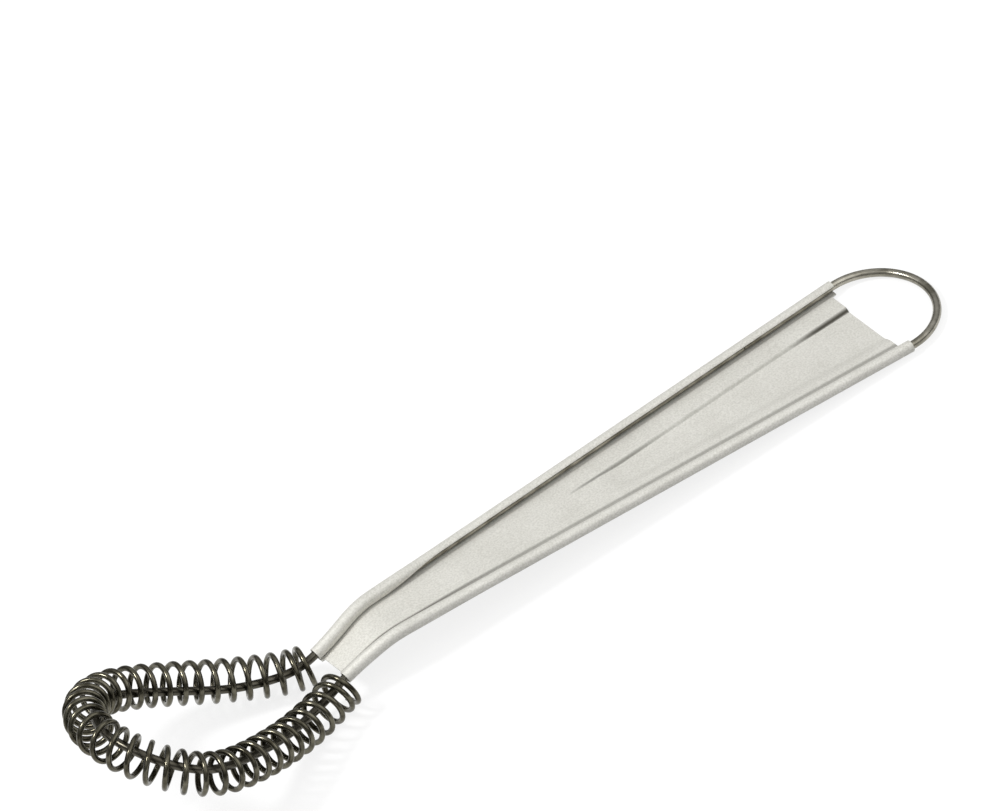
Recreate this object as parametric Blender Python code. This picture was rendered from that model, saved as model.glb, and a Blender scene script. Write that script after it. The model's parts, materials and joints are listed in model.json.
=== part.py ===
# Spoon whisk: a sheet handle with rolled edges round a wire frame, and a coil spring on its head loop.
#
# Lengths are in metres and angles in degrees.
# Reach is the distance along the side profile, from the plate's wide end (0) towards the head's tip.
# Half width is measured from the middle plane, and height from the frame wire's centre line.

import math

import bpy
import numpy as np
from mathutils import Matrix, Vector
from mathutils.geometry import interpolate_bezier

# Stock
FRAME_WIRE_DIAMETER = 0.0021
COIL_WIRE_DIAMETER = 0.0014
SHEET_THICKNESS = 0.0003

# Side profile, from the wide end to the tip
FLAT_LENGTH = 0.1446
NECK_BEND_RADIUS = 0.025
NECK_ANGLE = 19.3
NECK_LENGTH = 0.0108
BARE_NECK_LENGTH = 0.0027
HEEL_RADIUS = 0.020
BOWL_RADIUS = 0.0484
BOWL_ANGLE = 20.7
FRONT_LENGTH = 0.0208
FRONT_ANGLE = 24.7
TIP_LENGTH = 0.0193
TIP_ANGLE = 33.9

# Outline, as half widths of the frame wire's centre line
HANGER_REACH = 0.0158
HANDLE_HALF_WIDTH = 0.01545
NECK_HALF_WIDTH = 0.00745
MOUTH_HALF_WIDTH = 0.0059
HEAD_HALF_WIDTH = 0.0188
WIDEST_TO_TIP = 0.0177

# Rolled edges and the plate's ends
ROLL_CLEARANCE = 0.00015
CURL_END_ANGLE = 146.0
NECK_CURL_END_ANGLE = 186.0
ROLL_NECK_GROWTH = 0.00015
ROLL_GROWTH_LENGTH = 0.0208
WIDE_END_SETBACK = 0.0014
MOUTH_SETBACK = 0.0008
NOTCH_CORNER = 0.0002
WIRE_JOINT_REACH = 0.028
WIRE_JOINT_GAP = 0.0003

# Pressed hollow in the grip
HOLLOW_INSET = 0.0072
HOLLOW_LENGTH = 0.0817
HOLLOW_END_RUN = 0.0022
HOLLOW_DEPTH = 0.0006
HOLLOW_MOUTH_DEPTH = 0.0009
HOLLOW_MOUTH_LENGTH = 0.0246

# Coil spring
COIL_OUTER_DIAMETER = 0.0108
COIL_TURNS = 40.0
COIL_CLOSED_TURNS = 0.8
COIL_OPENING_TURNS = 0.9
COIL_CLOSED_PITCH = 0.0025
COIL_START_PHASE = 88.0
COIL_FIRST_GAP = 0.0031
COIL_LAST_GAP = 0.0019
COIL_LOOSE_FROM = 0.70
COIL_LOOSENING_RUN = 0.05
COIL_LOOSENING = 0.15

# Where the coil's centre line lies beside the head wire: outwards, above it, and how stiffly it bends
COIL_FIRST_MOUTH_OUT = -0.0008
COIL_LAST_MOUTH_OUT = 0.0012
COIL_SEAT_CLEARANCE = 0.00065
COIL_FIRST_MOUTH_RISE = -0.0020
COIL_LAST_MOUTH_RISE = -0.0004
COIL_FLARE_RISE = 0.0010
COIL_TIP_RISE = -0.0005
COIL_SEATED_SHARE = 0.36
COIL_BRIDGED_LENGTH = 0.010

# Shape of the outline's curves, as shares of each stretch
TIP_FULLNESS = 0.472
HANGER_FULLNESS = 0.552
FLARE_START_PULL = 0.227
FLARE_END_PULL = 0.272
NECK_PULL = 0.386

# Facets and sampling
ROLL_STEPS = 12
WIRE_RINGS_PER_BEND = 14
FRAME_WIRE_ROUNDNESS = 3
COIL_WIRE_ROUNDNESS = 1
POINTS_PER_TURN = 10
GAP_POINTS_PER_TURN = 24
HOLLOW_MOUTH_ROWS = 7
HOLLOW_ROWS = 4
HOLLOW_END_ROWS = 5
FLAT_ROWS = 5
NECK_ROWS = 11
SHARP_ANGLE = 35.0
OUTLINE_SAMPLES = 150
AXIS_SAMPLES = 600
STEEPEST_TILT = 45.0
TILT_HALVINGS = 50
STRAIGHT = 1e-9

# Sizes that follow from the ones above
FRAME_WIRE_RADIUS = FRAME_WIRE_DIAMETER / 2
COIL_WIRE_RADIUS = COIL_WIRE_DIAMETER / 2
ROLL_BORE_RADIUS = FRAME_WIRE_RADIUS + ROLL_CLEARANCE
ROLL_RADIUS = ROLL_BORE_RADIUS + SHEET_THICKNESS
COIL_MEAN_RADIUS = COIL_OUTER_DIAMETER / 2 - COIL_WIRE_RADIUS
COIL_BORE_RADIUS = COIL_MEAN_RADIUS - COIL_WIRE_RADIUS
COIL_SEATED_OUT = COIL_BORE_RADIUS - FRAME_WIRE_RADIUS - COIL_SEAT_CLEARANCE
TAPER = (NECK_HALF_WIDTH - HANDLE_HALF_WIDTH) / FLAT_LENGTH

# The side profile as stretches of one curvature: length, and heading at its end
PROFILE = (
    (FLAT_LENGTH, 0.0),
    (NECK_BEND_RADIUS * math.radians(NECK_ANGLE), -NECK_ANGLE),
    (NECK_LENGTH, -NECK_ANGLE),
    (BARE_NECK_LENGTH, -NECK_ANGLE),
    (HEEL_RADIUS * math.radians(NECK_ANGLE), 0.0),
    (BOWL_RADIUS * math.radians(BOWL_ANGLE), BOWL_ANGLE),
    (FRONT_LENGTH, FRONT_ANGLE),
    (TIP_LENGTH, TIP_ANGLE),
)
MOUTH_REACH = sum(length for length, heading in PROFILE[:3])
TIP_REACH = sum(length for length, heading in PROFILE)
WIDEST_REACH = TIP_REACH - WIDEST_TO_TIP


# Side profile: the point and heading at a reach, which is level before the wide end
def profile_at(reach):
    along = min(reach, 0.0)
    height = 0.0
    heading = 0.0
    left = max(reach, 0.0)
    for length, end_degrees in PROFILE:
        step = min(length, left)
        turn = (math.radians(end_degrees) - heading) * step / length
        if abs(turn) < STRAIGHT:
            along += step * math.cos(heading)
            height += step * math.sin(heading)
        else:
            radius = step / turn
            along += radius * (math.sin(heading + turn) - math.sin(heading))
            height += radius * (math.cos(heading) - math.cos(heading + turn))
        heading += turn
        left -= step
    return along, height, heading


# A point given by its reach, its side offset and its height off the profile
def place(reach, side, lift=0.0):
    along, height, heading = profile_at(reach)
    along -= lift * math.sin(heading)
    height += lift * math.cos(heading)
    return Vector((-along, side, height))


def profile_direction(reach):
    heading = profile_at(reach)[2]
    return Vector((-math.cos(heading), 0.0, math.sin(heading)))


def profile_normal(reach):
    heading = profile_at(reach)[2]
    return Vector((math.sin(heading), 0.0, math.cos(heading)))


# One curved stretch of the outline, as points of (reach, half width)
def stretch(start, start_pull, end_pull, end, count):
    corners = [Vector((x, y, 0.0)) for x, y in (start, start_pull, end_pull, end)]
    return [(p.x, p.y) for p in interpolate_bezier(*corners, count)]


# Half of the hanging loop, from its end to the plate's wide end
def hanger_outline(count):
    return stretch(
        (-HANGER_REACH, 0.0),
        (-HANGER_REACH, HANDLE_HALF_WIDTH * HANGER_FULLNESS),
        (-HANGER_REACH * HANGER_FULLNESS, HANDLE_HALF_WIDTH - TAPER * HANGER_REACH * HANGER_FULLNESS),
        (0.0, HANDLE_HALF_WIDTH),
        count,
    )


# The neck, from the start of its bend to the mouth
def neck_outline(count):
    pull = (MOUTH_REACH - FLAT_LENGTH) * NECK_PULL
    return stretch(
        (FLAT_LENGTH, NECK_HALF_WIDTH),
        (FLAT_LENGTH + pull, NECK_HALF_WIDTH + TAPER * pull),
        (MOUTH_REACH - pull, MOUTH_HALF_WIDTH),
        (MOUTH_REACH, MOUTH_HALF_WIDTH),
        count,
    )


# The head, from the mouth through its widest place to its tip
def head_outline(count):
    flare = WIDEST_REACH - MOUTH_REACH
    sides = stretch(
        (MOUTH_REACH, MOUTH_HALF_WIDTH),
        (MOUTH_REACH + flare * FLARE_START_PULL, MOUTH_HALF_WIDTH),
        (WIDEST_REACH - flare * FLARE_END_PULL, HEAD_HALF_WIDTH),
        (WIDEST_REACH, HEAD_HALF_WIDTH),
        count,
    )
    front = stretch(
        (WIDEST_REACH, HEAD_HALF_WIDTH),
        (WIDEST_REACH + WIDEST_TO_TIP * TIP_FULLNESS, HEAD_HALF_WIDTH),
        (TIP_REACH, HEAD_HALF_WIDTH * TIP_FULLNESS),
        (TIP_REACH, 0.0),
        count,
    )
    return sides + front[1:]


# The rolled edge's half width at any reach of the plate
def plate_half_width(reach):
    if reach <= FLAT_LENGTH:
        return HANDLE_HALF_WIDTH + TAPER * reach
    reaches, widths = zip(*neck_outline(OUTLINE_SAMPLES))
    return float(np.interp(reach, reaches, widths))


# Both halves of an outline joined at the middle plane, from one side round to the other
def mirrored(half):
    there = [place(reach, side) for reach, side in half]
    back = [place(reach, -side) for reach, side in reversed(half)]
    return there + back[1:]


def smooth_step(value):
    clamped = min(max(value, 0.0), 1.0)
    return clamped * clamped * (3.0 - 2.0 * clamped)


def steel(name, color, roughness):
    material = bpy.data.materials.new(name)
    material.use_nodes = True
    shader = material.node_tree.nodes["Principled BSDF"]
    shader.inputs["Base Color"].default_value = (*color, 1.0)
    shader.inputs["Metallic"].default_value = 1.0
    shader.inputs["Roughness"].default_value = roughness
    material.diffuse_color = (*color, 1.0)
    return material


def add_object(name, data, material, parent):
    data.materials.append(material)
    part = bpy.data.objects.new(name, data)
    bpy.context.collection.objects.link(part)
    part.parent = parent
    return part


def add_empty(name, parent=None):
    empty = bpy.data.objects.new(name, None)
    bpy.context.collection.objects.link(empty)
    empty.parent = parent
    return empty


# A round wire along points, with flat closed ends
def wire_curve(name, points, radius, bevel_resolution):
    curve = bpy.data.curves.new(name, "CURVE")
    curve.dimensions = "3D"
    curve.bevel_depth = radius
    curve.bevel_resolution = bevel_resolution
    curve.use_fill_caps = True
    spline = curve.splines.new("POLY")
    spline.points.add(len(points) - 1)
    for point, position in zip(spline.points, points):
        point.co = (*position, 1.0)
    return curve


# Frame wires: the head loop with its two legs, and the hanging loop, meeting end to end inside the rolls
def head_wire_points():
    legs = [(WIRE_JOINT_REACH + WIRE_JOINT_GAP, plate_half_width(WIRE_JOINT_REACH + WIRE_JOINT_GAP))]
    half = legs + neck_outline(WIRE_RINGS_PER_BEND) + head_outline(WIRE_RINGS_PER_BEND)[1:]
    return mirrored(half)


def hanger_points():
    loop = hanger_outline(WIRE_RINGS_PER_BEND)
    half = [(WIRE_JOINT_REACH, plate_half_width(WIRE_JOINT_REACH))] + loop[::-1]
    return mirrored(half)


# Plate: one strip, curled up over the wire at both edges, flat between, with the pressed hollow
def hollow_depth(reach):
    mouth_share = smooth_step(1.0 - reach / HOLLOW_MOUTH_LENGTH)
    depth = HOLLOW_DEPTH + (HOLLOW_MOUTH_DEPTH - HOLLOW_DEPTH) * mouth_share
    return depth * smooth_step((HOLLOW_LENGTH - reach) / HOLLOW_END_RUN)


def hollow_half_width(reach):
    at_end = plate_half_width(HOLLOW_LENGTH)
    narrowed = min(plate_half_width(reach) / at_end, 1.0)
    return (max(plate_half_width(reach), at_end) - HOLLOW_INSET) * narrowed


# The roll is a little larger round the bent neck
def roll_radius(reach):
    grown = smooth_step((reach - FLAT_LENGTH) / ROLL_GROWTH_LENGTH + 1.0)
    return ROLL_RADIUS + ROLL_NECK_GROWTH * grown


# How far the roll reaches in from its wire's centre line
def roll_foot(reach):
    return roll_radius(reach) + SHEET_THICKNESS / 2


# The curl's free edge leaves the wire in sight on the grip and closes over it at the neck
def curl_end(reach):
    closed = smooth_step((reach - FLAT_LENGTH) / ROLL_GROWTH_LENGTH + 1.0)
    return math.radians(CURL_END_ANGLE + (NECK_CURL_END_ANGLE - CURL_END_ANGLE) * closed)


def roll_arc(half_width, radius, end_angle):
    start_angle = -math.pi / 2
    for step in range(ROLL_STEPS + 1):
        angle = end_angle + (start_angle - end_angle) * step / ROLL_STEPS
        yield half_width + radius * math.cos(angle), radius * math.sin(angle)


# The flat sheet between the rolls stops short of them at both ends
def set_back(reach):
    at_wide_end = WIDE_END_SETBACK * (1.0 - smooth_step(reach / HOLLOW_MOUTH_LENGTH))
    at_mouth = MOUTH_SETBACK * (1.0 - smooth_step((MOUTH_REACH - reach) / NECK_LENGTH))
    return reach + at_wide_end - at_mouth


# One line across the plate: roll, foot of the roll, flat edge, crease and floor of the hollow, and back
def plate_section(reach):
    half_width = plate_half_width(reach)
    radius = roll_radius(reach)
    curl = roll_arc(half_width, radius, curl_end(reach))
    half = [place(reach, side, lift) for side, lift in curl]
    half.append(place(reach, half_width - roll_foot(reach), -radius))
    inner = set_back(reach)
    inner_radius = roll_radius(inner)
    depth = hollow_depth(inner)
    crease = hollow_half_width(inner)
    half.append(place(inner, plate_half_width(inner) - roll_foot(inner) - NOTCH_CORNER, -inner_radius))
    half.append(place(inner, crease, -inner_radius))
    half.append(place(inner, crease - max(depth, HOLLOW_DEPTH), -inner_radius - depth))
    return half + [Vector((point.x, -point.y, point.z)) for point in reversed(half)]


def plate_reaches():
    wall = HOLLOW_LENGTH - HOLLOW_END_RUN
    return np.unique(np.concatenate([
        np.linspace(0.0, HOLLOW_MOUTH_LENGTH, HOLLOW_MOUTH_ROWS),
        np.linspace(HOLLOW_MOUTH_LENGTH, wall, HOLLOW_ROWS),
        np.linspace(wall, HOLLOW_LENGTH, HOLLOW_END_ROWS),
        np.linspace(FLAT_LENGTH - ROLL_GROWTH_LENGTH, FLAT_LENGTH, FLAT_ROWS),
        np.linspace(FLAT_LENGTH, MOUTH_REACH, NECK_ROWS),
    ]))


def plate_mesh():
    sections = [plate_section(reach) for reach in plate_reaches()]
    across = len(sections[0])
    vertices = [point for section in sections for point in section]
    faces = []
    for row in range(len(sections) - 1):
        for column in range(across - 1):
            corner = row * across + column
            faces.append((corner, corner + 1, corner + across + 1, corner + across))
    mesh = bpy.data.meshes.new("handle_plate")
    mesh.from_pydata(vertices, [], faces)
    mesh.shade_smooth()
    mesh.set_sharp_from_angle(angle=math.radians(SHARP_ANGLE))
    return mesh


def build_plate(parent, material):
    plate = add_object("handle_plate", plate_mesh(), material, parent)
    sheet = plate.modifiers.new("sheet", "SOLIDIFY")
    sheet.thickness = SHEET_THICKNESS
    sheet.offset = -1.0
    sheet.use_even_offset = True
    return plate


def blend(start, end, share):
    return start + (end - start) * smooth_step(share)


def ease_off(start, end, share):
    left = 1.0 - min(max(share, 0.0), 1.0)
    return end + (start - end) * left * left


# How far outwards and upwards the coil lies from the head wire at a reach, on one side
def coil_seating(reach, first_side):
    mouth_out = COIL_FIRST_MOUTH_OUT if first_side else COIL_LAST_MOUTH_OUT
    mouth_rise = COIL_FIRST_MOUTH_RISE if first_side else COIL_LAST_MOUTH_RISE
    share = (reach - MOUTH_REACH) / (TIP_REACH - MOUTH_REACH)
    seated = share / COIL_SEATED_SHARE
    past = (share - COIL_SEATED_SHARE) / (1.0 - COIL_SEATED_SHARE)
    out = ease_off(mouth_out, COIL_SEATED_OUT, seated)
    rise = ease_off(mouth_rise, COIL_FLARE_RISE, seated)
    rise += blend(0.0, COIL_TIP_RISE - COIL_FLARE_RISE, past)
    return out, rise


# The coil's way round the wire, from before one mouth to past the other, and the way outwards along it
def coil_way():
    lead = np.linspace(MOUTH_REACH - COIL_BRIDGED_LENGTH, MOUTH_REACH, OUTLINE_SAMPLES)
    half = [(reach, plate_half_width(reach)) for reach in lead[:-1]] + head_outline(OUTLINE_SAMPLES)
    outline = half + [(reach, -side) for reach, side in reversed(half)][1:]
    tangents = np.gradient(np.array(outline), axis=0)
    tangents /= np.linalg.norm(tangents, axis=1)[:, None]
    points = []
    outwards = []
    for (reach, side), (along, across) in zip(outline, tangents):
        outward = profile_direction(reach) * -across + Vector((0.0, along, 0.0))
        out, rise = coil_seating(reach, side > 0.0)
        points.append(place(reach, side) + outward * out + profile_normal(reach) * rise)
        outwards.append(outward)
    return np.array(points), np.array(outwards)


def distances(points):
    steps = np.linalg.norm(np.diff(points, axis=0), axis=1)
    return np.concatenate([[0.0], np.cumsum(steps)])


def sample(at, distance, values):
    return np.stack([np.interp(at, distance, values[:, k]) for k in range(3)], axis=1)


# Coil: its axis follows that way, but bridges the tight bends, as the coil is too stiff for them
def coil_axis():
    way, ways_out = coil_way()
    distance = distances(way)
    at = np.linspace(0.0, distance[-1], AXIS_SAMPLES)
    window = int(COIL_BRIDGED_LENGTH / distance[-1] * AXIS_SAMPLES)
    even = sample(at, distance, way)
    axis = np.stack([np.convolve(even[:, k], np.ones(window) / window, "valid") for k in range(3)], axis=1)
    middles = np.convolve(at, np.ones(window) / window, "valid")
    first = COIL_BRIDGED_LENGTH + COIL_FIRST_GAP
    last = distance[-1] - COIL_BRIDGED_LENGTH - COIL_LAST_GAP
    inside = (middles >= first) & (middles <= last)
    return axis[inside], sample(middles[inside], distance, ways_out)


# How far along the axis each turn has got: close together at both ends, looser towards the last one
def coil_travel(turn, length):
    turns = np.linspace(0.0, COIL_TURNS, AXIS_SAMPLES)
    past_closed = np.minimum(turns, COIL_TURNS - turns) - COIL_CLOSED_TURNS
    opened = np.array([smooth_step(past / COIL_OPENING_TURNS) for past in past_closed])
    past_even = (turns / COIL_TURNS - COIL_LOOSE_FROM) / COIL_LOOSENING_RUN
    opened *= np.array([1.0 + COIL_LOOSENING * smooth_step(past) for past in past_even])
    step = COIL_TURNS / (AXIS_SAMPLES - 1)
    closed_length = COIL_CLOSED_PITCH * np.sum(1.0 - opened[1:]) * step
    open_pitch = (length - closed_length) / (np.sum(opened[1:]) * step)
    pitch = COIL_CLOSED_PITCH + (open_pitch - COIL_CLOSED_PITCH) * opened
    travel = np.concatenate([[0.0], np.cumsum(pitch[1:] * step)])
    return np.interp(turn, turns, travel)


def coil_points(points_per_turn):
    points, outwards = coil_axis()
    distance = distances(points)
    turn = np.linspace(0.0, COIL_TURNS, round(COIL_TURNS * points_per_turn) + 1)
    at = coil_travel(turn, distance[-1])
    centre = sample(at, distance, points)
    outward = sample(at, distance, outwards)
    tangent = sample(at, distance, np.gradient(points, distance, axis=0))
    tangent /= np.linalg.norm(tangent, axis=1)[:, None]
    outward -= tangent * np.sum(outward * tangent, axis=1)[:, None]
    outward /= np.linalg.norm(outward, axis=1)[:, None]
    upward = np.cross(tangent, outward)
    angle = (2 * math.pi * turn + math.radians(COIL_START_PHASE))[:, None]
    helix = centre + COIL_MEAN_RADIUS * (np.cos(angle) * outward + np.sin(angle) * upward)
    start = straight_end(helix[0], helix[1])
    end = straight_end(helix[-1], helix[-2])
    return np.concatenate([[start], helix, [end]])


# A cut end runs straight on for one wire diameter
def straight_end(last, before):
    return last + (last - before) / np.linalg.norm(last - before) * COIL_WIRE_DIAMETER


# The least free gap between one turn and the next, measured on points
def coil_least_gap():
    half_turn = GAP_POINTS_PER_TURN // 2
    points = coil_points(GAP_POINTS_PER_TURN)
    least = math.inf
    for first in range(len(points) - half_turn):
        others = points[first + half_turn:]
        least = min(least, float(np.min(np.linalg.norm(others - points[first], axis=1))))
    return least - COIL_WIRE_DIAMETER


# The level of the lowest place of a wire or a sheet's edge, once the whisk is tilted
def lowest(points, radius, tilt):
    heights = np.array(points)[:, 2] * math.cos(tilt) - np.array(points)[:, 0] * math.sin(tilt)
    return float(np.min(heights)) - radius


# The whisk lies on its coil's heel and, at the other end, on its hanging loop or the plate's lip
def resting_tilt(coil, loop_points):
    lip = plate_section(0.0)
    low = 0.0
    high = math.radians(STEEPEST_TILT)
    for _ in range(TILT_HALVINGS):
        tilt = (low + high) / 2
        rear = min(lowest(loop_points, FRAME_WIRE_RADIUS, tilt), lowest(lip, 0.0, tilt))
        if rear > lowest(coil, COIL_WIRE_RADIUS, tilt):
            low = tilt
        else:
            high = tilt
    return tilt


def main():
    for part in list(bpy.data.objects):
        bpy.data.objects.remove(part)

    frame_steel = steel("frame_wire_steel", (0.56, 0.55, 0.52), 0.22)
    coil_steel = steel("coil_wire_steel", (0.50, 0.48, 0.43), 0.25)
    sheet_steel = steel("sheet_steel", (0.80, 0.79, 0.75), 0.35)

    lying = add_empty("lying_frame")
    head_points = head_wire_points()
    loop_points = hanger_points()
    coil = coil_points(POINTS_PER_TURN)
    floating = add_empty("coil_float", lying)
    floating.location = place(MOUTH_REACH, 0.0)
    coil_local = [Vector(point) - floating.location for point in coil]

    head = wire_curve("head_wire", head_points, FRAME_WIRE_RADIUS, FRAME_WIRE_ROUNDNESS)
    hanger = wire_curve("hanging_loop", loop_points, FRAME_WIRE_RADIUS, FRAME_WIRE_ROUNDNESS)
    spring = wire_curve("whisk_coil", coil_local, COIL_WIRE_RADIUS, COIL_WIRE_ROUNDNESS)
    add_object("head_wire", head, frame_steel, lying)
    add_object("hanging_loop", hanger, frame_steel, lying)
    build_plate(lying, sheet_steel)
    add_object("whisk_coil", spring, coil_steel, floating)

    tilt = resting_tilt(coil, loop_points)
    turned = Matrix.Rotation(tilt, 3, "Y")
    spots = [turned @ Vector(point) for point in list(coil) + loop_points]
    lying.rotation_euler = (0.0, tilt, 0.0)
    middle = (min(p.x for p in spots) - COIL_WIRE_RADIUS + max(p.x for p in spots) + FRAME_WIRE_RADIUS) / 2
    floor = lowest(coil, COIL_WIRE_RADIUS, tilt)
    lying.location = (-middle, 0.0, -floor)

    print(f"coil: {COIL_TURNS} turns, least gap between turns {coil_least_gap() * 1000:.2f} mm")
    print(f"resting tilt {math.degrees(tilt):.2f} degrees")
    print(f"mouth reach {MOUTH_REACH * 1000:.1f} mm, tip reach {TIP_REACH * 1000:.1f} mm")


main()
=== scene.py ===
import json
import math

import bpy
import numpy as np
from mathutils import Matrix, Vector
from mathutils.geometry import interpolate_bezier


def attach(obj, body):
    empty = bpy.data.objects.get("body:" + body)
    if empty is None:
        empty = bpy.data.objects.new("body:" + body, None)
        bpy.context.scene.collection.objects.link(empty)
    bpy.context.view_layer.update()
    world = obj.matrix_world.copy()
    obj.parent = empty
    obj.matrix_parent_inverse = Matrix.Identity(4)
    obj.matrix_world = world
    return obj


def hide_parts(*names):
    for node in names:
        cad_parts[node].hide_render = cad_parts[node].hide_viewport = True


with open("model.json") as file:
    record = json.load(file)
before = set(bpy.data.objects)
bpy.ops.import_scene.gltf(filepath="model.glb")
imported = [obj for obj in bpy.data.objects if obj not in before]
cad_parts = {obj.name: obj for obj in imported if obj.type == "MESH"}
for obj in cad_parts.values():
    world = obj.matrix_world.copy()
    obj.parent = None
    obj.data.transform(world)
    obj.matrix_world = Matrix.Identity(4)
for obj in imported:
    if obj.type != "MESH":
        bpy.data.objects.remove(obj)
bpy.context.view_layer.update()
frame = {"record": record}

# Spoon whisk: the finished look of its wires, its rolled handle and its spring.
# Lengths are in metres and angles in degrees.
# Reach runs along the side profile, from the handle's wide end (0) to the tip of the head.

scene = bpy.context.scene
scene.view_settings.view_transform = "Standard"

sideProfile = {
    "flatLength": 0.1446,
    "neckBendRadius": 0.025,
    "neckAngle": 19.3,
    "neckLength": 0.0108,
    "bareNeckLength": 0.0027,
    "heelRadius": 0.020,
    "bowlRadius": 0.0484,
    "bowlAngle": 20.7,
    "frontLength": 0.0208,
    "frontAngle": 24.7,
    "tipLength": 0.0193,
    "tipAngle": 33.9,
}

outline = {
    "hangerReach": 0.0158,
    "handleHalfWidth": 0.01545,
    "neckHalfWidth": 0.00745,
    "mouthHalfWidth": 0.0059,
    "headHalfWidth": 0.0188,
    "widestToTip": 0.0177,
    "tipFullness": 0.472,
    "hangerFullness": 0.552,
    "flareStartPull": 0.227,
    "flareEndPull": 0.272,
    "neckPull": 0.386,
    "samples": 200,
}


def profileStretches():
    p = sideProfile
    neckTurn = math.radians(p["neckAngle"])
    return (
        (p["flatLength"], 0.0),
        (p["neckBendRadius"] * neckTurn, -p["neckAngle"]),
        (p["neckLength"], -p["neckAngle"]),
        (p["bareNeckLength"], -p["neckAngle"]),
        (p["heelRadius"] * neckTurn, 0.0),
        (p["bowlRadius"] * math.radians(p["bowlAngle"]), p["bowlAngle"]),
        (p["frontLength"], p["frontAngle"]),
        (p["tipLength"], p["tipAngle"]),
    )


stretches = profileStretches()
flatEnd = sideProfile["flatLength"]
mouthReach = sum(length for length, heading in stretches[:3])
tipReach = sum(length for length, heading in stretches)
widestReach = tipReach - outline["widestToTip"]
taper = (outline["neckHalfWidth"] - outline["handleHalfWidth"]) / flatEnd
leastTurn = 1e-9  # a smaller turn counts as straight


def profileAt(reach):
    along = min(reach, 0.0)
    height = 0.0
    heading = 0.0
    left = max(reach, 0.0)
    for length, endAngle in stretches:
        step = min(length, left)
        turn = (math.radians(endAngle) - heading) * step / length
        if abs(turn) < leastTurn:
            along += step * math.cos(heading)
            height += step * math.sin(heading)
        else:
            radius = step / turn
            along += radius * (math.sin(heading + turn) - math.sin(heading))
            height += radius * (math.cos(heading) - math.cos(heading + turn))
        heading += turn
        left -= step
    return along, height, heading


def place(reach, side, lift=0.0):
    along, height, heading = profileAt(reach)
    along -= lift * math.sin(heading)
    height += lift * math.cos(heading)
    return Vector((-along, side, height))


def smoothStep(value):
    clamped = min(max(value, 0.0), 1.0)
    return clamped * clamped * (3.0 - 2.0 * clamped)


def blendValue(start, end, share):
    return start + (end - start) * smoothStep(share)


def easeOff(start, end, share):
    left = 1.0 - min(max(share, 0.0), 1.0)
    return end + (start - end) * left * left


def curvedStretch(corners, count):
    points = interpolate_bezier(*[Vector((x, y, 0.0)) for x, y in corners], count)
    return [(p.x, p.y) for p in points]


def hangerOutline(count):
    reach, width, full = outline["hangerReach"], outline["handleHalfWidth"], outline["hangerFullness"]
    return curvedStretch((
        (-reach, 0.0),
        (-reach, width * full),
        (-reach * full, width - taper * reach * full),
        (0.0, width),
    ), count)


def neckOutline(count):
    width, mouth = outline["neckHalfWidth"], outline["mouthHalfWidth"]
    pull = (mouthReach - flatEnd) * outline["neckPull"]
    return curvedStretch((
        (flatEnd, width),
        (flatEnd + pull, width + taper * pull),
        (mouthReach - pull, mouth),
        (mouthReach, mouth),
    ), count)


def headOutline(count):
    width, mouth, full = outline["headHalfWidth"], outline["mouthHalfWidth"], outline["tipFullness"]
    flare = widestReach - mouthReach
    sides = curvedStretch((
        (mouthReach, mouth),
        (mouthReach + flare * outline["flareStartPull"], mouth),
        (widestReach - flare * outline["flareEndPull"], width),
        (widestReach, width),
    ), count)
    front = curvedStretch((
        (widestReach, width),
        (widestReach + outline["widestToTip"] * full, width),
        (tipReach, width * full),
        (tipReach, 0.0),
    ), count)
    return sides + front[1:]


neckReaches, neckWidths = zip(*neckOutline(outline["samples"]))


def handleHalfWidth(reach):
    if reach <= flatEnd:
        return outline["handleHalfWidth"] + taper * reach
    return float(np.interp(reach, neckReaches, neckWidths))


# The camera looks down past the head, at the photograph's angle
photoCamera = {
    "azimuth": 30.51,
    "elevation": 40.27,
    "lean": -10.62,
    "metresPerPixel": 0.000235,
    "imageSize": (1000, 811),
    "wideEndPixel": (871.5, 315.75),
    "lens": 1200.0,
    "sensor": 36.0,
    "nearestSeen": 0.01,
    "balance": 1.7,  # pixels to the right, as the view narrows a little with distance
}


def placeCamera():
    c = photoCamera
    turn, up, lean = [math.radians(c[name]) for name in ("azimuth", "elevation", "lean")]
    level = Vector((math.cos(turn), -math.sin(turn), 0.0))
    back = Vector((-math.sin(turn) * math.cos(up), -math.cos(turn) * math.cos(up), math.sin(up)))
    right = level * math.cos(lean) + back.cross(level) * math.sin(lean)
    above = back.cross(right)
    pixelsRight = c["imageSize"][0] / 2 - c["wideEndPixel"][0] - c["balance"]
    pixelsUp = c["wideEndPixel"][1] - c["imageSize"][1] / 2
    aim = (right * pixelsRight + above * pixelsUp) * c["metresPerPixel"]
    distance = c["metresPerPixel"] * c["imageSize"][0] * c["lens"] / c["sensor"]
    middleDepth = back.dot(place(tipReach / 2, 0.0))
    looking = Matrix((right, above, back)).transposed().to_4x4()
    data = bpy.data.cameras.new("photoCamera")
    data.lens = c["lens"]
    data.sensor_width = c["sensor"]
    data.clip_start = c["nearestSeen"]
    data.clip_end = distance * 2
    camera = bpy.data.objects.new("photoCamera", data)
    scene.collection.objects.link(camera)
    camera.matrix_world = lying @ Matrix.Translation(aim + back * (distance + middleDepth)) @ looking
    scene.camera = camera
    print("camera set", round(distance, 2), "m away")


studio = {
    "floorSize": 6.0,
    "floorColor": (0.24, 0.24, 0.24),
    "floorGlow": 0.79,
    "horizonLevel": 0.32,
    "zenithLevel": 0.92,
    "dimBelow": 0.25,
    "brightAbove": 0.80,
}

lamps = (
    {"name": "skySoftbox", "at": (0.5, -0.7, 1.15), "size": 1.6, "power": 5.5},
    {"name": "keyLamp", "at": (-0.9, 0.3, 1.3), "size": 0.35, "power": 14.0},
)


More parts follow.
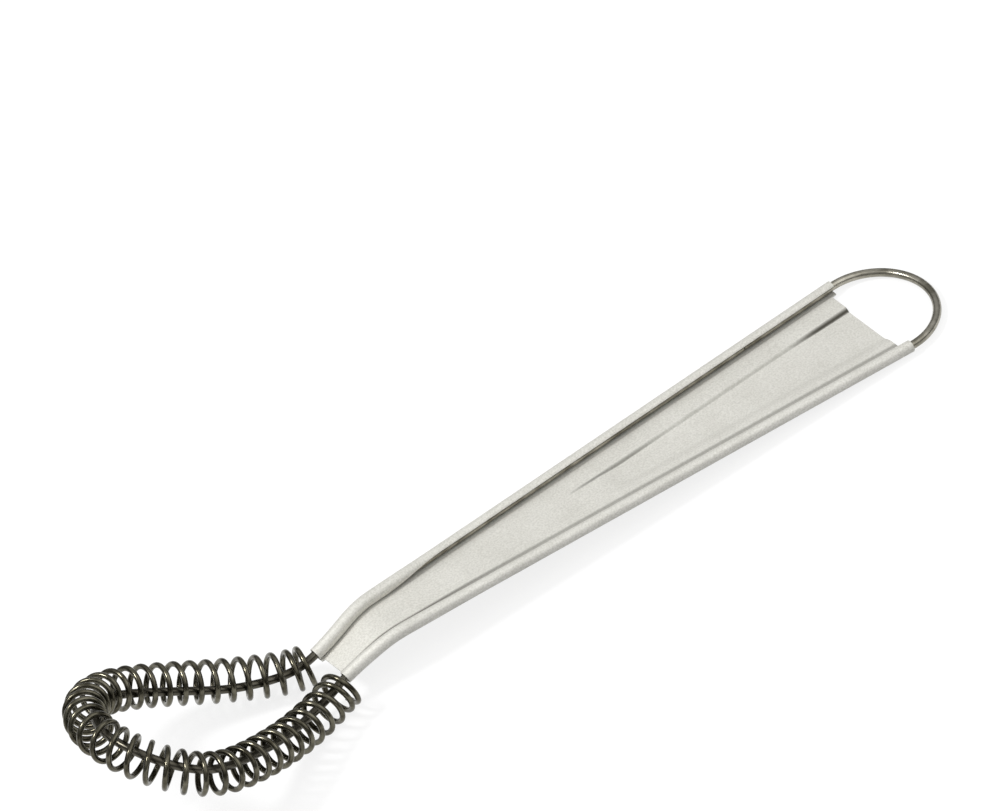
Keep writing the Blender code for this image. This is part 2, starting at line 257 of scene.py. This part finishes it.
def makeNode(tree, kind, inputs=None, **settings):
    made = tree.nodes.new(kind)
    for name, value in settings.items():
        setattr(made, name, value)
    for socket, value in (inputs or {}).items():
        if isinstance(value, bpy.types.NodeSocket):
            tree.links.new(value, made.inputs[socket])
        else:
            made.inputs[socket].default_value = value
    return made


# White for the eye and for reflections, without more light on the whisk
def seenShare(tree):
    path = makeNode(tree, "ShaderNodeLightPath")
    seen = makeNode(tree, "ShaderNodeMath", {
        0: path.outputs["Is Camera Ray"], 1: path.outputs["Is Glossy Ray"],
    }, operation="ADD", use_clamp=True)
    return makeNode(tree, "ShaderNodeMath", {
        0: seen.outputs[0], 1: path.outputs["Is Transmission Ray"],
    }, operation="ADD", use_clamp=True).outputs[0]


def buildFloor():
    half = studio["floorSize"] / 2
    mesh = bpy.data.meshes.new("studioFloor")
    corners = [(-half, -half, 0), (half, -half, 0), (half, half, 0), (-half, half, 0)]
    mesh.from_pydata(corners, [], [(0, 1, 2, 3)])
    floor = bpy.data.objects.new("studioFloor", mesh)
    scene.collection.objects.link(floor)
    material = bpy.data.materials.new("paperFloor")
    material.use_nodes = True
    tree = material.node_tree
    tree.nodes.clear()
    matt = makeNode(tree, "ShaderNodeBsdfDiffuse", {"Color": (*studio["floorColor"], 1.0)})
    glowLevel = mathNode(tree, "MULTIPLY", seenShare(tree), studio["floorGlow"])
    glow = makeNode(tree, "ShaderNodeEmission", {"Strength": glowLevel})
    both = makeNode(tree, "ShaderNodeAddShader", {0: matt.outputs[0], 1: glow.outputs[0]})
    makeNode(tree, "ShaderNodeOutputMaterial", {"Surface": both.outputs[0]})
    mesh.materials.append(material)


# A studio that is dim near the floor and bright overhead
def buildWorld():
    world = bpy.data.worlds.new("studioWorld")
    world.use_nodes = True
    tree = world.node_tree
    tree.nodes.clear()
    way = makeNode(tree, "ShaderNodeTexCoord")
    height = makeNode(tree, "ShaderNodeSeparateXYZ", {0: way.outputs["Generated"]})
    level = makeNode(tree, "ShaderNodeMapRange", {
        "Value": height.outputs["Z"], "From Min": studio["dimBelow"], "From Max": studio["brightAbove"],
        "To Min": studio["horizonLevel"], "To Max": studio["zenithLevel"],
    }, interpolation_type="SMOOTHSTEP")
    sky = makeNode(tree, "ShaderNodeBackground", {"Strength": level.outputs[0]})
    makeNode(tree, "ShaderNodeOutputWorld", {"Surface": sky.outputs[0]})
    scene.world = world


def buildLamps():
    for lamp in lamps:
        data = bpy.data.lights.new(lamp["name"], "AREA")
        data.shape = "DISK"
        data.size = lamp["size"]
        data.energy = lamp["power"]
        light = bpy.data.objects.new(lamp["name"], data)
        scene.collection.objects.link(light)
        light.location = lamp["at"]
        light.rotation_euler = (-Vector(lamp["at"])).to_track_quat("-Z", "Y").to_euler()
        light.visible_camera = False


# Steel finishes
frameWireFinish = {
    "dark": (0.14, 0.13, 0.10), "light": (0.44, 0.42, 0.36), "roughness": (0.20, 0.34),
    "lineAcross": 9000.0, "lineAlong": 70.0, "lineDepth": 0.000004, "patch": 260.0,
    "patchShare": 0.75, "grainShare": 0.25,
    # painted shade on the head loop's wire where it runs inside the spring
    "insideSpringShade": (0.05, 0.045, 0.033), "insideSpringShadeShare": 0.85, "insideSpringShadeSpan": (0.128, 0.137),
}
coilWireFinish = {
    "dark": (0.03, 0.026, 0.017), "light": (0.17, 0.16, 0.12), "roughness": (0.14, 0.27),
    "lineAcross": 9000.0, "lineAlong": 90.0, "lineDepth": 0.000004, "patch": 420.0,
    "patchShare": 0.75, "grainShare": 0.25,
}
sheetFinish = {
    # the darkest colour is painted shade, laid into the handle's crevices, beside the near roll and on the
    # hollow's far wall
    "dark": (0.56, 0.55, 0.50), "light": (0.82, 0.81, 0.76), "paintedShade": (0.055, 0.05, 0.036),
    "roughness": (0.50, 0.65), "lineAcross": 5000.0, "lineAlong": 60.0, "lineDepth": 0.000003,
    "speckle": 2200.0, "patch": 90.0, "metallic": 0.35,
    "speckleShare": 0.5, "grainShare": 0.2, "patchShare": 0.3,
}
noiseSpan = (0.35, 0.65)
wideNoiseSpan = (0.3, 0.7)
sheetToneSpan = (0.2, 0.9)


# A drawn or rolled grain: long thin lines along the piece, from its "steelPlace" attribute
def grainNoise(tree, finish, seed):
    spot = makeNode(tree, "ShaderNodeAttribute", attribute_name="steelPlace")
    stretched = makeNode(tree, "ShaderNodeVectorMath", {
        0: spot.outputs["Vector"],
        1: (finish["lineAlong"], finish["lineAcross"], finish["lineAcross"]),
    }, operation="MULTIPLY")
    return makeNode(tree, "ShaderNodeTexNoise", {
        "Vector": stretched.outputs[0], "W": seed, "Scale": 1.0, "Detail": 3.0, "Roughness": 0.6,
    }, noise_dimensions="4D").outputs[0]


def patchNoise(tree, scale, seed, detail=4.0):
    spot = makeNode(tree, "ShaderNodeTexCoord")
    return makeNode(tree, "ShaderNodeTexNoise", {
        "Vector": spot.outputs["Object"], "W": seed, "Scale": scale, "Detail": detail, "Roughness": 0.55,
    }, noise_dimensions="4D").outputs[0]


def spread(tree, value, span, toLow, toHigh):
    low, high = span
    return makeNode(tree, "ShaderNodeMapRange", {
        "Value": value, "From Min": low, "From Max": high, "To Min": toLow, "To Max": toHigh,
    }).outputs[0]


def mathNode(tree, operation, first, second):
    return makeNode(tree, "ShaderNodeMath", {0: first, 1: second}, operation=operation).outputs[0]


def mixColor(tree, share, first, second):
    sockets = {"Factor": share}
    for socket, color in (("A", first), ("B", second)):
        sockets[socket] = color if isinstance(color, bpy.types.NodeSocket) else (*color, 1.0)
    return makeNode(tree, "ShaderNodeMix", sockets, data_type="RGBA").outputs["Result"]


def steelShader(name, metallic):
    material = bpy.data.materials.new(name)
    material.use_nodes = True
    tree = material.node_tree
    shader = tree.nodes["Principled BSDF"]
    shader.inputs["Metallic"].default_value = metallic
    return material, tree, shader


def wireSteel(name, finish, seed):
    material, tree, shader = steelShader(name, 1.0)
    grain = grainNoise(tree, finish, seed)
    patches = patchNoise(tree, finish["patch"], seed + 1.0)
    tone = mathNode(
        tree, "ADD",
        spread(tree, patches, noiseSpan, 0.0, finish["patchShare"]),
        spread(tree, grain, noiseSpan, 0.0, finish["grainShare"]),
    )
    color = mixColor(tree, tone, finish["dark"], finish["light"])
    # Painted shade: the wire is darkened where it runs inside the spring, past a set distance from its
    # ends
    if "insideSpringShade" in finish:
        fromEnd = makeNode(tree, "ShaderNodeAttribute", attribute_name="fromEnd").outputs["Fac"]
        share = spread(tree, fromEnd, finish["insideSpringShadeSpan"], 0.0, finish["insideSpringShadeShare"])
        color = mixColor(tree, share, color, finish["insideSpringShade"])
    tree.links.new(color, shader.inputs["Base Color"])
    smooth, rough = finish["roughness"]
    tree.links.new(spread(tree, grain, wideNoiseSpan, smooth, rough), shader.inputs["Roughness"])
    bump = makeNode(tree, "ShaderNodeBump", {"Height": grain, "Distance": finish["lineDepth"]})
    tree.links.new(bump.outputs[0], shader.inputs["Normal"])
    return material


def sheetSteel(name, finish, seed):
    material, tree, shader = steelShader(name, finish["metallic"])
    grain = grainNoise(tree, finish, seed)
    speckle = patchNoise(tree, finish["speckle"], seed + 1.0, 2.0)
    patches = patchNoise(tree, finish["patch"], seed + 2.0)
    fine = mathNode(
        tree, "ADD",
        spread(tree, speckle, noiseSpan, 0.0, finish["speckleShare"]),
        spread(tree, grain, wideNoiseSpan, 0.0, finish["grainShare"]),
    )
    tone = mathNode(tree, "ADD", fine, spread(tree, patches, wideNoiseSpan, 0.0, finish["patchShare"]))
    clean = mixColor(tree, tone, finish["dark"], finish["light"])
    # Painted shade: the handle's crevices, the strip beside the near roll and the hollow's far wall are
    # darkened in the base colour
    paintedShade = makeNode(tree, "ShaderNodeAttribute", attribute_name="paintedShade").outputs["Fac"]
    tree.links.new(mixColor(tree, paintedShade, clean, finish["paintedShade"]), shader.inputs["Base Color"])
    smooth, rough = finish["roughness"]
    tree.links.new(spread(tree, tone, sheetToneSpan, rough, smooth), shader.inputs["Roughness"])
    bump = makeNode(tree, "ShaderNodeBump", {"Height": tone, "Distance": finish["lineDepth"]})
    tree.links.new(bump.outputs[0], shader.inputs["Normal"])
    return material


def addPiece(name, mesh, material, body, node):
    mesh.materials.append(material)
    mesh.transform(lying)
    piece = bpy.data.objects.new(name, mesh)
    scene.collection.objects.link(piece)
    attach(piece, body)
    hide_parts(node)
    return piece


def setAttribute(mesh, name, kind, values):
    attribute = mesh.attributes.new(name, kind, "POINT")
    field = "vector" if kind == "FLOAT_VECTOR" else "value"
    attribute.data.foreach_set(field, np.asarray(values, np.float32).ravel())


def distancesAlong(points):
    steps = np.linalg.norm(np.diff(points, axis=0), axis=1)
    return np.concatenate([[0.0], np.cumsum(steps)])


# The frame's wires, and how any round wire is swept
wires = {
    "frameDiameter": 0.0021,
    "jointReach": 0.028,
    "jointGap": 0.0003,
    "ringsPerBend": 110,
    "legRings": 40,
    "hangerLegRings": 12,
    "sides": 28,
    "endRounding": 0.12,
    "sharpAngle": 40.0,
    "leastRingStep": 1e-7,
    "leastAcross": 0.1,
}
frameWireRadius = wires["frameDiameter"] / 2


# A round wire swept along points, with its cut ends slightly rounded
def sweptWire(name, points, radius, sides):
    path = np.asarray(points, float)
    steps = np.linalg.norm(np.diff(path, axis=0), axis=1)
    path = path[np.concatenate([[True], steps > wires["leastRingStep"]])]
    tangent = np.gradient(path, axis=0)
    tangent /= np.linalg.norm(tangent, axis=1)[:, None]
    rounding = radius * wires["endRounding"]
    path = np.concatenate([[path[0]], [path[0] + tangent[0] * rounding], path[1:-1],
                           [path[-1] - tangent[-1] * rounding], [path[-1]]])
    tangent = np.concatenate([[tangent[0]], tangent, [tangent[-1]]])
    radii = np.full(len(path), radius)
    radii[0] = radii[-1] = radius - rounding
    along = distancesAlong(path)
    across = np.cross(tangent[0], (0.0, 0.0, 1.0))
    if np.linalg.norm(across) < wires["leastAcross"]:
        across = np.cross(tangent[0], (0.0, 1.0, 0.0))
    angles = np.linspace(0.0, 2 * math.pi, sides, endpoint=False)
    vertices = []
    spots = []
    for k in range(len(path)):
        across = across - tangent[k] * np.dot(across, tangent[k])
        across = across / np.linalg.norm(across)
        up = np.cross(tangent[k], across)
        ring = np.outer(np.cos(angles), across) + np.outer(np.sin(angles), up)
        vertices.append(path[k] + ring * radii[k])
        spot = np.full(sides, along[k]), np.cos(angles) * radius, np.sin(angles) * radius
        spots.append(np.stack(spot, axis=1))
    faces = []
    for k in range(len(path) - 1):
        for s in range(sides):
            a, b = k * sides + s, k * sides + (s + 1) % sides
            faces.append((a, b, b + sides, a + sides))
    last = (len(path) - 1) * sides
    faces.append(tuple(range(sides - 1, -1, -1)))
    faces.append(tuple(last + s for s in range(sides)))
    mesh = bpy.data.meshes.new(name)
    mesh.from_pydata(np.concatenate(vertices).tolist(), [], faces)
    mesh.shade_smooth()
    mesh.set_sharp_from_angle(angle=math.radians(wires["sharpAngle"]))
    setAttribute(mesh, "steelPlace", "FLOAT_VECTOR", np.concatenate(spots))
    setAttribute(mesh, "fromEnd", "FLOAT", np.repeat(np.minimum(along, along[-1] - along), sides))
    return mesh


# Both halves of an outline, from one side round to the other
def mirroredWay(half):
    there = [place(reach, side) for reach, side in half]
    back = [place(reach, -side) for reach, side in reversed(half)]
    return there + back[1:]


def buildWires(material):
    count = wires["ringsPerBend"]
    start = wires["jointReach"] + wires["jointGap"]
    legs = [(reach, handleHalfWidth(reach)) for reach in np.linspace(start, flatEnd, wires["legRings"])]
    head = mirroredWay(legs[:-1] + neckOutline(count) + headOutline(count)[1:])
    mesh = sweptWire("headLoopWire", head, frameWireRadius, wires["sides"])
    addPiece("headLoopWire", mesh, material, "frame", "head_wire")
    reaches = np.linspace(wires["jointReach"], 0.0, wires["hangerLegRings"])
    legs = [(reach, handleHalfWidth(reach)) for reach in reaches]
    hanger = mirroredWay(legs[:-1] + hangerOutline(count)[::-1])
    mesh = sweptWire("hangingLoopWire", hanger, frameWireRadius, wires["sides"])
    addPiece("hangingLoopWire", mesh, material, "frame", "hanging_loop")


# Rolled handle
handle = {
    "sheet": 0.0003,
    "rollClearance": 0.00015,
    "curlEnd": 146.0,
    "neckCurlEnd": 224.0,
    "neckGrowth": 0.00015,
    "growthLength": 0.0208,
    "wideEndSetback": 0.0014,
    "mouthSetback": 0.0008,
    "notchCorner": 0.0002,
    "hollowInset": 0.0072,
    "hollowLength": 0.0817,
    "hollowEndRun": 0.009,
    "hollowDepth": 0.0006,
    "hollowMouthDepth": 0.0009,
    "hollowMouthLength": 0.0246,
    "creaseRadius": 0.0005,
    "nearCreaseRadius": 0.0024,
    "edgeRounding": 0.00006,
    "creaseFade": 4,
    "edgeSegments": 2,
    "edgeAngle": 50.0,
    "footShare": 0.5,
    "rollSteps": 30,
    "flatShares": (0.0, 0.35, 0.7),
    "wallSteps": 8,
    "floorShares": (0.6, 0.3, 0.0),
}
rollRadius = frameWireRadius + handle["rollClearance"] + handle["sheet"]

handleRows = {
    "lipLength": 0.002,
    "lip": 5,
    "mouth": 20,
    "hollow": 24,
    "hollowEnd": 12,
    "flat": 18,
    "closing": 10,
    "neck": 32,
}

# Painted shade, from 0 for none to 1.
# It darkens the crevice at the rolls' feet, a strip beside the near roll where its curl shades the sheet,
# and the hollow's far wall
shadePainting = {
    "foot": (0.25, 0.08),  # at the wide end and past the hollow
    "pastFoot": 0.1,
    "footWidth": 0.0004,
    "strip": (0.5, 0.85),  # on the grip and at the neck
    "stripWidth": 0.0030,
    "stripMiddle": 0.25,
    "stripLimit": 0.9,
    "stripDarkensFrom": 0.10,
    "stripDarkensOver": 0.05,
    "wall": 0.3,
    "wallAtEnds": 0.7,
    "wallAtFarEnd": 0.5,
    "mouthUntil": 0.010,
    "farEndFrom": 0.058,
    "fadeLength": 0.012,
}


def rollRadiusAt(reach):
    return rollRadius + handle["neckGrowth"] * smoothStep((reach - flatEnd) / handle["growthLength"] + 1.0)


def curlEnd(reach):
    closed = (reach - flatEnd) / handle["growthLength"] + 1.0
    return math.radians(blendValue(handle["curlEnd"], handle["neckCurlEnd"], closed))


def hollowDepthAt(reach):
    mouthShare = smoothStep(1.0 - reach / handle["hollowMouthLength"])
    depth = handle["hollowDepth"] + (handle["hollowMouthDepth"] - handle["hollowDepth"]) * mouthShare
    return depth * smoothStep((handle["hollowLength"] - reach) / handle["hollowEndRun"])


def narrowedShare(reach):
    return min(handleHalfWidth(reach) / handleHalfWidth(handle["hollowLength"]), 1.0)


def hollowHalfWidth(reach):
    grip = max(handleHalfWidth(reach), handleHalfWidth(handle["hollowLength"]))
    return (grip - handle["hollowInset"]) * narrowedShare(reach)


def setBack(reach):
    wide = handle["wideEndSetback"] * (1.0 - smoothStep(reach / handle["hollowMouthLength"]))
    mouth = handle["mouthSetback"] * (1.0 - smoothStep((mouthReach - reach) / sideProfile["neckLength"]))
    return reach + wide - mouth


# Painted shade in the crevice at the rolls' feet, strongest at the wide end
def footShade(reach):
    atWideEnd, pastHollow = shadePainting["foot"]
    return blendValue(atWideEnd, pastHollow, reach / handle["hollowLength"])


# Painted shadow of the near roll's curl on the sheet beside it, darker towards the neck
def stripShadow(reach):
    onGrip, atNeck = shadePainting["strip"]
    return blendValue(onGrip, atNeck, (reach - shadePainting["stripDarkensFrom"]) / shadePainting["stripDarkensOver"])


# Painted shade on the hollow's far wall, darker at the wide end and towards the hollow's far end
def hollowWallShade(reach):
    atMouth = 1.0 - smoothStep((reach - shadePainting["mouthUntil"]) / shadePainting["fadeLength"])
    atFarEnd = smoothStep((reach - shadePainting["farEndFrom"]) / shadePainting["fadeLength"])
    pastEnd = smoothStep((reach - handle["hollowLength"]) / handle["hollowEndRun"])
    atEnds = shadePainting["wallAtEnds"] * max(atMouth, shadePainting["wallAtFarEnd"] * atFarEnd)
    return (shadePainting["wall"] + atEnds) * (1.0 - pastEnd)


# Half of one line across the sheet, from the curl's free edge to the middle: reach, side, lift and painted
# shade
def handleSection(reach, near):
    half = handleHalfWidth(reach)
    radius = rollRadiusAt(reach)
    endAngle = curlEnd(reach)
    steps = handle["rollSteps"]
    section = []
    for step in range(steps + 1):
        angle = endAngle + (-math.pi / 2 - endAngle) * step / steps
        section.append((reach, half + radius * math.cos(angle), radius * math.sin(angle), 0.0))
    foot = radius + handle["sheet"] / 2
    # the roll's foot and the sheet's edge just past it get painted shade
    section.append((reach, half - radius * handle["footShare"], -radius, footShade(reach)))
    section.append((reach, half - foot, -radius, footShade(reach)))
    inner = setBack(reach)
    lift = -rollRadiusAt(inner)
    edge = handleHalfWidth(inner) - foot - handle["notchCorner"]
    depth = hollowDepthAt(inner)
    crease = hollowHalfWidth(inner)
    run = max(depth, handle["hollowDepth"])
    section.append((inner, edge, lift, shadePainting["pastFoot"] * footShade(reach)))
    soft = handle["nearCreaseRadius" if near else "creaseRadius"]
    soft *= narrowedShare(inner) ** handle["creaseFade"]
    wallTop = crease + soft / 2
    # the width of painted shade beside each roll
    shadedWidth = shadePainting["stripWidth" if near else "footWidth"]
    clear = edge - min(shadedWidth, (edge - wallTop) * shadePainting["stripLimit"])
    # painted shadow in a strip beside the near roll
    if near:
        section.append((inner, clear + (edge - clear) * shadePainting["stripMiddle"], lift, stripShadow(reach)))
    for share in handle["flatShares"]:
        section.append((inner, clear + (wallTop - clear) * share, lift, 0.0))
    for step in range(handle["wallSteps"] + 1):
        share = step / handle["wallSteps"]
        fall = smoothStep(share)
        # only the hollow's far wall gets painted shade
        wallShadeShare = 0.0 if near else hollowWallShade(inner) * math.sin(math.pi * share)
        section.append((inner, wallTop - (run + soft) * share, lift - depth * fall, wallShadeShare))
    for share in handle["floorShares"]:
        section.append((inner, (crease - run - soft) * share, lift - depth, 0.0))
    return section


def handleReaches():
    wall = handle["hollowLength"] - handle["hollowEndRun"]
    grown = flatEnd - handle["growthLength"]
    rows = handleRows
    return np.unique(np.concatenate([
        np.linspace(0.0, rows["lipLength"], rows["lip"]),
        np.linspace(rows["lipLength"], handle["hollowMouthLength"], rows["mouth"]),
        np.linspace(handle["hollowMouthLength"], wall, rows["hollow"]),
        np.linspace(wall, handle["hollowLength"], rows["hollowEnd"]),
        np.linspace(handle["hollowLength"], grown, rows["flat"]),
        np.linspace(grown, flatEnd, rows["closing"]),
        np.linspace(flatEnd, mouthReach, rows["neck"]),
    ]))


def buildHandle(material):
    sections = []
    for reach in handleReaches():
        far = handleSection(reach, False)
        near = handleSection(reach, True)
        sections.append(far + [(r, -side, lift, paintedShade) for r, side, lift, paintedShade in reversed(near[:-1])])
    across = len(sections[0])
    vertices = [place(r, side, lift) for section in sections for r, side, lift, paintedShade in section]
    paintedShades = [paintedShade for section in sections for r, side, lift, paintedShade in section]
    spots = []
    for section in sections:
        line = distancesAlong(np.array([(side, lift) for r, side, lift, paintedShade in section]))
        spots += [(r, spot, 0.0) for (r, side, lift, paintedShade), spot in zip(section, line)]
    faces = []
    for row in range(len(sections) - 1):
        for column in range(across - 1):
            corner = row * across + column
            faces.append((corner, corner + 1, corner + across + 1, corner + across))
    mesh = bpy.data.meshes.new("rolledHandle")
    mesh.from_pydata(vertices, [], faces)
    mesh.shade_smooth()
    setAttribute(mesh, "steelPlace", "FLOAT_VECTOR", spots)
    # painted shade for each point, as handleSection lays it
    setAttribute(mesh, "paintedShade", "FLOAT", paintedShades)
    piece = addPiece("rolledHandle", mesh, material, "frame", "handle_plate")
    sheet = piece.modifiers.new("sheet", "SOLIDIFY")
    sheet.thickness = handle["sheet"]
    sheet.offset = -1.0
    sheet.use_even_offset = True
    edge = piece.modifiers.new("edge", "BEVEL")
    edge.width = handle["edgeRounding"]
    edge.segments = handle["edgeSegments"]
    edge.limit_method = "ANGLE"
    edge.angle_limit = math.radians(handle["edgeAngle"])
    edge.harden_normals = True


# Spring on the head loop
coil = {
    "outerDiameter": 0.0108,
    "wireDiameter": 0.0014,
    "turns": 40.0,
    "closedTurns": 0.8,
    "openingTurns": 0.9,
    "closedPitch": 0.0025,
    "startPhase": 88.0,
    "firstGap": 0.0031,
    "lastGap": 0.0019,
    "looseFrom": 0.70,
    "looseningRun": 0.05,
    "loosening": 0.15,
    "firstMouthOut": -0.0008,
    "lastMouthOut": 0.0012,
    "seatClearance": 0.00065,
    "firstMouthRise": -0.0020,
    "lastMouthRise": -0.0004,
    "flareRise": 0.0010,
    "tipRise": -0.0005,
    "seatedShare": 0.36,
    "bridgedLength": 0.010,
    "pointsPerTurn": 44,
    "sides": 16,
    "axisSamples": 1200,
}


def coilSeating(reach, side):
    mouth = "firstMouth" if side > 0.0 else "lastMouth"
    share = (reach - mouthReach) / (tipReach - mouthReach)
    seated = share / coil["seatedShare"]
    past = (share - coil["seatedShare"]) / (1.0 - coil["seatedShare"])
    seatedOut = coil["outerDiameter"] / 2 - coil["wireDiameter"] - frameWireRadius - coil["seatClearance"]
    out = easeOff(coil[mouth + "Out"], seatedOut, seated)
    rise = easeOff(coil[mouth + "Rise"], coil["flareRise"], seated)
    rise += blendValue(0.0, coil["tipRise"] - coil["flareRise"], past)
    return out, rise


def coilWay():
    count = outline["samples"]
    lead = np.linspace(mouthReach - coil["bridgedLength"], mouthReach, count)
    half = [(reach, handleHalfWidth(reach)) for reach in lead[:-1]] + headOutline(count)
    way = half + [(reach, -side) for reach, side in reversed(half)][1:]
    tangents = np.gradient(np.array(way), axis=0)
    tangents /= np.linalg.norm(tangents, axis=1)[:, None]
    points = []
    outwards = []
    for (reach, side), (along, across) in zip(way, tangents):
        heading = profileAt(reach)[2]
        forward = Vector((-math.cos(heading), 0.0, math.sin(heading)))
        normal = Vector((math.sin(heading), 0.0, math.cos(heading)))
        outward = forward * -across + Vector((0.0, along, 0.0))
        out, rise = coilSeating(reach, side)
        points.append(place(reach, side) + outward * out + normal * rise)
        outwards.append(outward)
    return np.array(points), np.array(outwards)


def sampled(at, distance, values):
    return np.stack([np.interp(at, distance, values[:, k]) for k in range(3)], axis=1)


# The spring is too stiff for the wire's tight bends, so its axis bridges them
def coilAxis():
    way, outwards = coilWay()
    distance = distancesAlong(way)
    at = np.linspace(0.0, distance[-1], coil["axisSamples"])
    window = int(coil["bridgedLength"] / distance[-1] * coil["axisSamples"])
    even = sampled(at, distance, way)
    kernel = np.ones(window) / window
    axis = np.stack([np.convolve(even[:, k], kernel, "valid") for k in range(3)], axis=1)
    middles = np.convolve(at, kernel, "valid")
    first = coil["bridgedLength"] + coil["firstGap"]
    last = distance[-1] - coil["bridgedLength"] - coil["lastGap"]
    inside = (middles >= first) & (middles <= last)
    return axis[inside], sampled(middles[inside], distance, outwards)


# How far along the axis each turn has got: close at both ends, looser towards the last one
def coilTravel(turn, length):
    turns = np.linspace(0.0, coil["turns"], coil["axisSamples"])
    pastClosed = np.minimum(turns, coil["turns"] - turns) - coil["closedTurns"]
    opened = np.array([smoothStep(past / coil["openingTurns"]) for past in pastClosed])
    pastEven = (turns / coil["turns"] - coil["looseFrom"]) / coil["looseningRun"]
    opened *= np.array([1.0 + coil["loosening"] * smoothStep(past) for past in pastEven])
    step = turns[1]
    closedLength = coil["closedPitch"] * np.sum(1.0 - opened[1:]) * step
    openPitch = (length - closedLength) / (np.sum(opened[1:]) * step)
    pitch = coil["closedPitch"] + (openPitch - coil["closedPitch"]) * opened
    travel = np.concatenate([[0.0], np.cumsum(pitch[1:] * step)])
    return np.interp(turn, turns, travel)


def straightEnd(last, before):
    return last + (last - before) / np.linalg.norm(last - before) * coil["wireDiameter"]


def coilPoints():
    points, outwards = coilAxis()
    distance = distancesAlong(points)
    turn = np.linspace(0.0, coil["turns"], round(coil["turns"] * coil["pointsPerTurn"]) + 1)
    at = coilTravel(turn, distance[-1])
    centre = sampled(at, distance, points)
    outward = sampled(at, distance, outwards)
    tangent = sampled(at, distance, np.gradient(points, distance, axis=0))
    tangent /= np.linalg.norm(tangent, axis=1)[:, None]
    outward -= tangent * np.sum(outward * tangent, axis=1)[:, None]
    outward /= np.linalg.norm(outward, axis=1)[:, None]
    upward = np.cross(tangent, outward)
    meanRadius = (coil["outerDiameter"] - coil["wireDiameter"]) / 2
    angle = (2 * math.pi * turn + math.radians(coil["startPhase"]))[:, None]
    helix = centre + meanRadius * (np.cos(angle) * outward + np.sin(angle) * upward)
    return np.concatenate([[straightEnd(helix[0], helix[1])], helix, [straightEnd(helix[-1], helix[-2])]])


def buildCoil(material):
    mesh = sweptWire("headSpring", coilPoints(), coil["wireDiameter"] / 2, coil["sides"])
    addPiece("headSpring", mesh, material, "coil", "whisk_coil")


# The whisk lies tilted on the floor. The flat under its grip says how.
def lyingFrame(sheetUnderside, gripReach=0.12):
    mount = next(m for m in frame["record"]["mounts"] if m["name"] == "grip_underside")
    downX, _, downZ = mount["axis"]
    turned = Matrix.Rotation(math.atan2(-downX, -downZ), 4, "Y")
    offset = Vector(mount["pos_m"]) - turned @ place(gripReach, 0.0, -sheetUnderside)
    return Matrix.Translation(offset) @ turned


lying = lyingFrame(rollRadius)
placeCamera()
buildFloor()
buildWorld()
buildLamps()
print("studio built")
buildWires(wireSteel("drawnFrameWire", frameWireFinish, 3.0))
print("frame wires built")
buildHandle(sheetSteel("satinSheet", sheetFinish, 7.0))
print("handle built")
buildCoil(wireSteel("drawnSpringWire", coilWireFinish, 11.0))
print("spring built")
